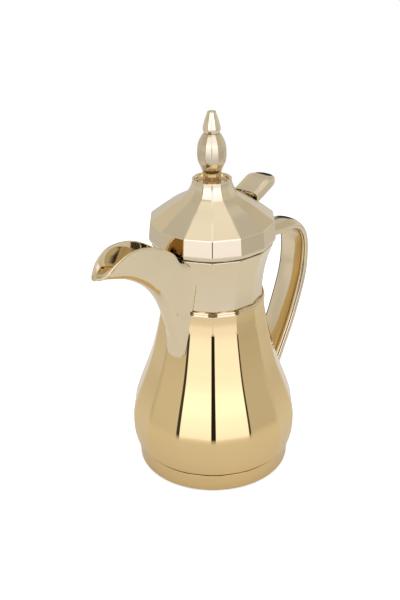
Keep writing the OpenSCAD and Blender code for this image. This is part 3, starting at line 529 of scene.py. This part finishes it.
def make_handle():
    top = HANDLE_TOP
    foot_x = body_r(HANDLE_FOOT_Z) * FLAT
    reach = HANDLE_REACH
    line = curve([(neck_r(top) * FLAT - 1.5, top), (reach * 0.66, top - 3.2), (reach * 0.875, top - 6),
                  (reach * 0.98, top - 17), (reach * 1.008, top - 35), (reach * 0.98, top - 58),
                  (reach * 0.86, mix(top, HANDLE_FOOT_Z, 0.68)), (foot_x + 18, mix(top, HANDLE_FOOT_Z, 0.86)),
                  (foot_x + 4, HANDLE_FOOT_Z - 4)], 14)
    n = len(line)
    w = HANDLE_W
    outer = [(math.cos(a) * 0.98 - 0.12, w * math.sin(a)) for a in np.radians(np.linspace(-90, 90, 37))]
    # The shell's rim is a rounded bead, with an open joint between it and the cover
    rim, c = w - RIM_BEAD, w - COVER_IN
    bead = [(-0.12 - 0.5 * math.sin(a), w - RIM_BEAD * (1 - math.cos(a)))
            for a in np.radians(np.linspace(0, 90, 12))[1:]]
    shell = outer + bead + [(-0.3, rim - 0.05), (0.25, c - 1), (0.45, 0), (0.25, 1 - c), (-0.3, 0.05 - rim)]
    shell += [(x, -y) for x, y in bead[::-1]]
    cover = [(-0.62, -c), (0.1, 1.6 - c), (0.1, c - 1.6), (-0.62, c)]
    cover += [(-0.62 - 0.36 * math.cos(a), c * math.sin(a))
              for a in np.radians(np.linspace(90, -90, 30))[1:-1]]
    for name, section, node in (("handle_outer_gold", shell, "handle_shell"),
                                ("handle_inner_gold", cover, "handle_cover")):
        verts = []
        for i in range(n):
            d = line[min(i + 1, n - 1)] - line[max(i - 1, 0)]
            d /= np.linalg.norm(d)
            t = i / (n - 1)
            thick = mix(HANDLE_T, HANDLE_FOOT_T, t)
            wide = mix(1, HANDLE_FOOT_W / HANDLE_W, t) * mix(HANDLE_ROOT_W / HANDLE_W, 1, clamp(t / 0.16))
            for out, across in section:
                verts.append((line[i][0] - d[1] * out * thick, across * wide,
                              line[i][1] + d[0] * out * thick))
        cols = len(section)
        faces = grid_faces(n, cols) + [tuple(range(cols)), tuple(range((n - 1) * cols, n * cols))]
        obj = piece(name, verts, faces, "flask", "plated_shell", PALE, node)
        cut(obj, *pot_block(HANDLE_FOOT_Z - 14, RIM_Z + 20, -SUNK))
        true_normals(obj)


# ---------------------------------------------------------------- lid
def make_dome():
    up = curve([(RIDGE_R, RIDGE_Z), (mix(CROWN_R, RIDGE_R, 0.565), RIDGE_Z + DOME_H * 0.33),
                (mix(CROWN_R, RIDGE_R, 0.27), RIDGE_Z + DOME_H * 0.51),
                (mix(CROWN_R, RIDGE_R, 0.1), RIDGE_Z + DOME_H * 0.66),
                (CROWN_R + 0.5, RIDGE_Z + DOME_H * 0.85), (CROWN_R, CROWN_Z)], 12)
    ridge = up[2]
    edge = 2.2
    outer = [(LID_R - 1.6, LID_Z), (LID_R - 0.9, LID_Z), (LID_R, LID_Z + 2.4), (RIDGE_R, RIDGE_Z),
             (ridge[0], ridge[1])]
    outer = rounded(outer, [0, 0.4, 4, 1.6, 0], 5)[1:-1]
    section = [(LID_R - 1.4, LID_Z, edge, 0)] + [(r, z, edge, 0) for r, z in outer]
    # Half-way up, the edges between the dome's faces are softer
    section += [(q[0], q[1], edge + 5 * math.sin(math.pi * clamp((q[1] - RIDGE_Z) / 17)), 0)
                for q in up[3:-2]]
    brim = 0.8
    for a in np.radians([0, 30, 60, 90]):
        section.append((CROWN_R - brim + brim * math.cos(a), CROWN_Z - brim + brim * math.sin(a), edge, 0))
    cup = CROWN_R - 2.2
    section += [(cup + 0.6, CROWN_Z, edge, 0), (cup, CROWN_Z - 0.6, edge, 0), (cup, BUD_Z + 1.0, edge, 0),
                (cup - 0.8, BUD_Z, edge, 0), (2.7, BUD_Z, 1, 1), (2.7, CUP_Z, 1, 1), (6, CUP_Z - 0.2, 1, 1)]
    for q in up[-9:1:-3]:
        section.append((q[0] * FLAT - LID_WALL * 1.3, q[1] - 0.6, 1, 1))
    section += [(RIDGE_R * FLAT - LID_WALL, RIDGE_Z - 1, 1, 1), ((LID_R - LID_WALL) * FLAT, LID_Z + 3, 1, 1),
                ((LID_R - LID_WALL) * FLAT, LID_Z, 1, 1)]
    verts, faces = many_sided(section)
    obj = piece("dome_gold", verts, faces, "lid", "plated_shell", PALE, "lid_dome")
    half = LEVER_W + GAP
    cut(obj, *block(PIN_X - 4, PIN_X + 26, -half, half, PIN_Z - 6, PIN_Z + 7))
    true_normals(obj)


def make_finial():
    foot, waist = 6.9, TIP_R - 0.9
    line = curve([(foot, BUD_Z + FIT), (foot, BUD_Z + BUD_H * 0.2),
                  (mix(foot, BUD_R, 0.3), BUD_Z + BUD_H * 0.31),
                  (mix(foot, BUD_R, 0.88), BUD_Z + BUD_H * 0.47),
                  (BUD_R, BUD_Z + BUD_H * 0.63), (mix(waist, BUD_R, 0.85), BUD_Z + BUD_H * 0.79),
                  (mix(waist, BUD_R, 0.36), BUD_Z + BUD_H * 0.93), (waist, TIP_Z - FIT)], 8)
    section = [(r, z, 1.2, 0) for r, z in line] + [(1.6, TIP_Z - FIT, 0.2, 1), (1.6, BUD_Z + FIT, 0.2, 1)]
    verts, faces = many_sided(section)
    true_normals(piece("bud_gold", verts, faces, "lid", "plated_shell", BUD_PALE, "finial_bud"))
    line = curve([(TIP_R - 0.9, TIP_Z), (TIP_R, TIP_Z + TIP_H * 0.18), (TIP_R * 0.97, TIP_Z + TIP_H * 0.29),
                  (TIP_R * 0.76, TIP_Z + TIP_H * 0.62), (TIP_R * 0.53, TIP_Z + TIP_H * 0.9),
                  (TIP_R * 0.46, TIP_Z + TIP_H)], 8)
    section = [(r, z, 0.8, 0) for r, z in line[:-2]]
    section += [(line[-1][0] - 0.1, TIP_Z + TIP_H - 0.25, 0.8, 0), (line[-1][0] - 0.5, TIP_Z + TIP_H, 0.8, 0)]
    # The top closes on a ring 0.02 mm from the axis
    section += [(0.02, TIP_Z + TIP_H, 0.01, 0), (0.02, TIP_Z + TIP_H * 0.5, 0.01, 1),
                (1.6, TIP_Z + TIP_H * 0.5, 0.2, 1), (1.6, TIP_Z, 0.2, 1)]
    verts, faces = many_sided(section)
    true_normals(piece("tip_gold", verts, faces, "lid", "plated_shell", PALE, "finial_tip"))


PIN_STEPS = 48


def make_lever():
    # The pad's upper side follows the photo, and stands up to 2.9 mm above that of the CAD lever
    pad = curve([(PIN_X + 6, PIN_Z + 5.2), (PIN_X + 14, PIN_Z + 7.8)]
                + [(LEVER_REACH - back, PIN_Z + rise) for back, rise in
                   ((15, 11.6), (12, 12.3), (10, 12.3), (8, 12.1), (6, 11.8), (4, 11.4), (2, 10.9),
                    (0.8, 10.4), (0, 9.8))], 5)
    under = curve([(PIN_X + 7.5, PIN_Z - 2.6), (PIN_X + 12, PIN_Z - 1.2), (PIN_X + 26, PIN_Z + 4.4),
                   (LEVER_REACH - 1.5, PIN_Z + 7.6), (LEVER_REACH, PIN_Z + 8.3)], 12)
    loops = []
    start, end = PIN_X + 6.4, LEVER_REACH
    # Stations bunch towards the round tip
    for t in (0, 0.03, 0.08, 0.15, 0.25, 0.35, 0.45, 0.55, 0.65, 0.72, 0.78, 0.83, 0.87, 0.91, 0.94, 0.965,
              0.985, 0.997):
        x = mix(start, end, t)
        top = float(np.interp(x, pad[:, 0], pad[:, 1]))
        low = float(np.interp(x, under[:, 0], under[:, 1]))
        round_x = max(0.0, x - (end - LEVER_W)) / LEVER_W
        w = LEVER_W * math.sqrt(max(0.002, 1 - round_x ** 2))
        r = min(1.5, (top - low) * 0.45, w * 0.6)
        fall = min(1.4, (top - low) * 0.4)
        outline = rounded([(-w, low), (w, low), (w, top - fall), (w * 0.6, top), (-w * 0.6, top),
                           (-w, top - fall)], [r * 0.6, r * 0.6, r, 8, 8, r], 5)
        loops.append([(x, y, z) for y, z in outline])
    cols = len(loops[0])
    verts = [p for q in loops for p in q]
    faces = grid_faces(len(loops), cols) + [tuple(range(cols)), tuple(range(len(verts) - cols, len(verts)))]
    # Arm with its open fork, and the boss that the pin passes through
    arm = BRACKET_W - GAP
    slot = STEM_R + GAP
    outline = rounded([(-6, slot), (STEM_R + 1.2, slot), (STEM_R + 1.2, -slot), (-6, -slot), (-6, -arm),
                       (PIN_X + 9, -arm), (PIN_X + 9, arm), (-6, arm)],
                      [0.6, 1.5, 1.5, 0.6, 0.9, 0.2, 0.2, 0.9], 4)
    k = len(verts)
    n = len(outline)
    for z, inset in ((FORK_Z, 0.3), (FORK_Z + 0.3, 0), (FORK_Z + LEVER_T - 0.3, 0), (FORK_Z + LEVER_T, 0.3)):
        verts += [(x, y * (1 - inset / 8), z) for x, y in outline]
    faces += [tuple(k + i for i in f) for f in grid_faces(4, n)]
    faces += [tuple(range(k, k + n)), tuple(range(k + 3 * n, k + 4 * n))]
    obj = piece("lever_gold", verts, faces, "lever", "plated_shell", PALE, "thumb_lever")
    hole = PIN_R + RUNNING
    turn = np.linspace(0, 2 * math.pi, PIN_STEPS, False)
    boss = []
    for y, r in ((-arm, 2.9), (-arm + 0.3, 3.2), (arm - 0.3, 3.2), (arm, 2.9), (arm, hole), (-arm, hole)):
        boss += [(PIN_X + r * math.cos(a), y, PIN_Z + r * math.sin(a)) for a in turn]
    boss_faces = grid_faces(6, PIN_STEPS, closed_rows=True)
    piece("lever_boss_gold", np.array(boss), boss_faces, "lever", "plated_shell", PALE)
    bore = [(PIN_X + hole * math.cos(a), y, PIN_Z + hole * math.sin(a)) for y in (-20, 20) for a in turn]
    ends = [tuple(range(PIN_STEPS)), tuple(range(PIN_STEPS, 2 * PIN_STEPS))]
    cut(obj, bore, grid_faces(2, PIN_STEPS) + ends)
    true_normals(obj)


make_body()
make_base()
make_neck()
make_trim()
make_spout()
make_handle()
make_dome()
make_finial()
make_lever()


# ---------------------------------------------------------------- floor, light and camera
TABLE_R, TABLE_STEPS = 0.58, 96
FLOOR_GLOW = 0.55
PANEL_AZIMUTH = math.radians(218.57 - 360)
CAMERA_AT, CAMERA_AIM, CAMERA_ROLL = (-0.5466, -0.4359, 0.4926), (0, 0, 0.13804), math.radians(-0.35)
LENS, SHIFT_X = 60.53, -12.71 / 600
LAMP_SIZE, LAMP_POWER, LAMP_AT = 1.6, 12, (-0.3, -0.3, 1.8)


def make_floor():
    mesh = bpy.data.meshes.new("floor")
    around = [(TABLE_R * math.cos(a), TABLE_R * math.sin(a), 0)
              for a in np.linspace(0, 2 * math.pi, TABLE_STEPS, endpoint=False)]
    mesh.from_pydata(around, [], [tuple(range(len(around)))])
    floor = bpy.data.objects.new("floor", mesh)
    bpy.context.collection.objects.link(floor)
    mat = bpy.data.materials.new("floor_white")
    mat.use_nodes = True
    nodes, links = mat.node_tree.nodes, mat.node_tree.links
    nodes.clear()
    out = nodes.new("ShaderNodeOutputMaterial")
    add = nodes.new("ShaderNodeAddShader")
    diffuse = nodes.new("ShaderNodeBsdfDiffuse")
    diffuse.inputs["Color"].default_value = (0.8, 0.8, 0.8, 1)
    glow = nodes.new("ShaderNodeEmission")
    path = nodes.new("ShaderNodeLightPath")
    level = nodes.new("ShaderNodeMath")
    level.operation = "MULTIPLY"
    level.inputs[1].default_value = FLOOR_GLOW
    links.new(path.outputs["Is Camera Ray"], level.inputs[0])
    links.new(level.outputs[0], glow.inputs["Strength"])
    links.new(diffuse.outputs[0], add.inputs[0])
    links.new(glow.outputs[0], add.inputs[1])
    # Towards its edge the floor gives way to the panels, for reflections alone
    coords = nodes.new("ShaderNodeTexCoord")
    length = nodes.new("ShaderNodeVectorMath")
    length.operation = "LENGTH"
    fade = nodes.new("ShaderNodeMapRange")
    fade.interpolation_type = "SMOOTHSTEP"
    fade.inputs["From Min"].default_value = 0.12
    fade.inputs["From Max"].default_value = TABLE_R
    only = nodes.new("ShaderNodeMath")
    only.operation = "MULTIPLY"
    clear = nodes.new("ShaderNodeBsdfTransparent")
    part = nodes.new("ShaderNodeMixShader")
    links.new(coords.outputs["Object"], length.inputs[0])
    links.new(length.outputs["Value"], fade.inputs["Value"])
    links.new(fade.outputs["Result"], only.inputs[0])
    links.new(path.outputs["Is Glossy Ray"], only.inputs[1])
    links.new(only.outputs[0], part.inputs[0])
    links.new(add.outputs[0], part.inputs[1])
    links.new(clear.outputs[0], part.inputs[2])
    links.new(part.outputs[0], out.inputs["Surface"])
    mesh.materials.append(mat)


def make_world():
    """Studio: white to the camera, plain to matt surfaces, and soft panels for what is polished."""
    world = bpy.data.worlds.new("studio")
    bpy.context.scene.world = world
    world.use_nodes = True
    nodes, links = world.node_tree.nodes, world.node_tree.links
    nodes.clear()
    out = nodes.new("ShaderNodeOutputWorld")
    coords = nodes.new("ShaderNodeTexCoord")
    split = nodes.new("ShaderNodeSeparateXYZ")
    links.new(coords.outputs["Generated"], split.inputs[0])

    def maths(op, a, b=None):
        n = nodes.new("ShaderNodeMath")
        n.operation = op
        for i, v in enumerate((a, b)):
            if v is None:
                continue
            if isinstance(v, (int, float)):
                n.inputs[i].default_value = v
            else:
                links.new(v, n.inputs[i])
        return n.outputs[0]

    def ramp(value, stops, tint=(1, 1, 1)):
        n = nodes.new("ShaderNodeValToRGB")
        n.color_ramp.interpolation = "EASE"
        e = n.color_ramp.elements
        while len(e) < len(stops):
            e.new(0.5)
        for el, (pos, level) in zip(e, stops):
            el.position = pos
            el.color = (*[level * t for t in tint], 1)
        links.new(value, n.inputs[0])
        return n.outputs[0]

    def blend(factor, under, over, how="MIX"):
        n = nodes.new("ShaderNodeMix")
        n.data_type, n.blend_type = "RGBA", how
        for i, v in ((0, factor), (6, under), (7, over)):
            if isinstance(v, (float, tuple)):
                n.inputs[i].default_value = v
            else:
                links.new(v, n.inputs[i])
        return n.outputs[2]

    # Way round from the middle of the panels: 0.5 is the middle, and a degree is 1 / 360
    around = maths("ARCTAN2", split.outputs["Y"], split.outputs["X"])
    turned_by = maths("ADD", maths("SUBTRACT", around, PANEL_AZIMUTH), 3 * math.pi)
    way = maths("DIVIDE", maths("MODULO", turned_by, 2 * math.pi), 2 * math.pi)

    def arc(stops):
        return ramp(way, [(0.5 + degrees / 360, level) for degrees, level in stops])

    # Height, 0 at straight down, 0.5 at the horizon and 1 overhead
    up = maths("DIVIDE", maths("ADD", maths("ARCSINE", split.outputs["Z"]), math.pi / 2), math.pi)

    side = ramp(up, [(0.33, 0.68), (0.42, 0.65), (0.46, 0.70), (0.53, 0.70), (0.60, 0.65), (0.76, 0.64),
                     (0.85, 0.70), (0.92, 1.12)])
    warm = ramp(up, [(0.57, 0), (0.62, 1), (0.69, 1), (0.75, 0)])
    side = blend(1.0, side, blend(warm, (1.0, 1.0, 1.0, 1.0), (1.0, 0.965, 0.88, 1.0)), "MULTIPLY")
    drift = nodes.new("ShaderNodeTexNoise")
    drift.inputs["Scale"].default_value = 1.6
    drift.inputs["Detail"].default_value = 1
    links.new(coords.outputs["Generated"], drift.inputs["Vector"])
    side = blend(1.0, side, ramp(drift.outputs["Fac"], [(0.3, 0.9), (0.7, 1.1)]), "MULTIPLY")
    gap = ramp(up, [(0.40, 0.7), (0.44, 0.06), (0.60, 0.06), (0.68, 0.62), (0.76, 0.62), (0.93, 1.15)])
    panel = ramp(up, [(0.33, 0.80), (0.389, 0.95), (0.422, 1.15), (0.45, 1.35), (0.489, 1.42), (0.517, 1.5),
                      (0.539, 1.66), (0.583, 1.75), (0.70, 1.4), (0.95, 1.12)], (1, 1.04, 1.24))
    front = ramp(up, [(0.33, 0.80), (0.40, 0.72), (0.42, 0.02), (0.565, 0.02), (0.60, 0.85), (0.7, 1.1),
                      (0.95, 1.12)])
    behind = ramp(up, [(0.33, 0.68), (0.44, 0.64), (0.455, 0.04), (0.56, 0.04), (0.61, 0.62), (0.76, 0.64),
                       (0.93, 0.85)])
    # Gaps beside the panels, the panels, a dark band in front of them and one on the far side
    gaps = arc([(-60, 0), (-55, 1), (-36, 1), (-32, 0), (44, 0), (48, 1), (58, 1), (63, 0)])
    level = blend(gaps, side, gap)
    level = blend(arc([(-35, 0), (-32, 1), (43, 1), (46, 0)]), level, panel)
    level = blend(arc([(-18, 0), (-14, 1), (14, 1), (18, 0)]), level, front)
    level = blend(arc([(-180, 0), (163, 0), (168, 1), (176.5, 1), (178.5, 0), (180, 0)]), level, behind)
    panels = nodes.new("ShaderNodeBackground")
    links.new(level, panels.inputs["Color"])
    plain = nodes.new("ShaderNodeBackground")
    plain.inputs["Color"].default_value = (0.75, 0.75, 0.75, 1)
    white = nodes.new("ShaderNodeBackground")
    white.inputs["Color"].default_value = (1, 1, 1, 1)
    path = nodes.new("ShaderNodeLightPath")
    gloss = nodes.new("ShaderNodeMixShader")
    links.new(path.outputs["Is Glossy Ray"], gloss.inputs[0])
    links.new(plain.outputs[0], gloss.inputs[1])
    links.new(panels.outputs[0], gloss.inputs[2])
    seen = nodes.new("ShaderNodeMixShader")
    links.new(path.outputs["Is Camera Ray"], seen.inputs[0])
    links.new(gloss.outputs[0], seen.inputs[1])
    links.new(white.outputs[0], seen.inputs[2])
    links.new(seen.outputs[0], out.inputs["Surface"])


def make_camera():
    data = bpy.data.cameras.new("camera")
    cam = bpy.data.objects.new("camera", data)
    bpy.context.collection.objects.link(cam)
    data.sensor_width = 36
    data.lens = LENS
    data.shift_x = SHIFT_X
    data.clip_end = 50
    cam.location = CAMERA_AT
    aim = Vector(CAMERA_AIM) - cam.location
    turn = aim.to_track_quat("-Z", "Y").to_matrix().to_4x4()
    cam.matrix_world = Matrix.Translation(cam.location) @ turn @ Matrix.Rotation(CAMERA_ROLL, 4, "Z")
    bpy.context.scene.camera = cam


def make_lamp():
    data = bpy.data.lights.new("soft_top", "AREA")
    data.shape, data.size, data.size_y = "RECTANGLE", LAMP_SIZE, LAMP_SIZE
    data.energy = LAMP_POWER
    lamp = bpy.data.objects.new("soft_top", data)
    bpy.context.collection.objects.link(lamp)
    lamp.location = LAMP_AT
    lamp.rotation_euler = (Vector((0, 0, 0.1)) - Vector(lamp.location)).to_track_quat("-Z", "Y").to_euler()
    lamp.visible_glossy = False


make_floor()
make_world()
make_camera()
make_lamp()
bpy.context.scene.view_settings.view_transform = "Standard"
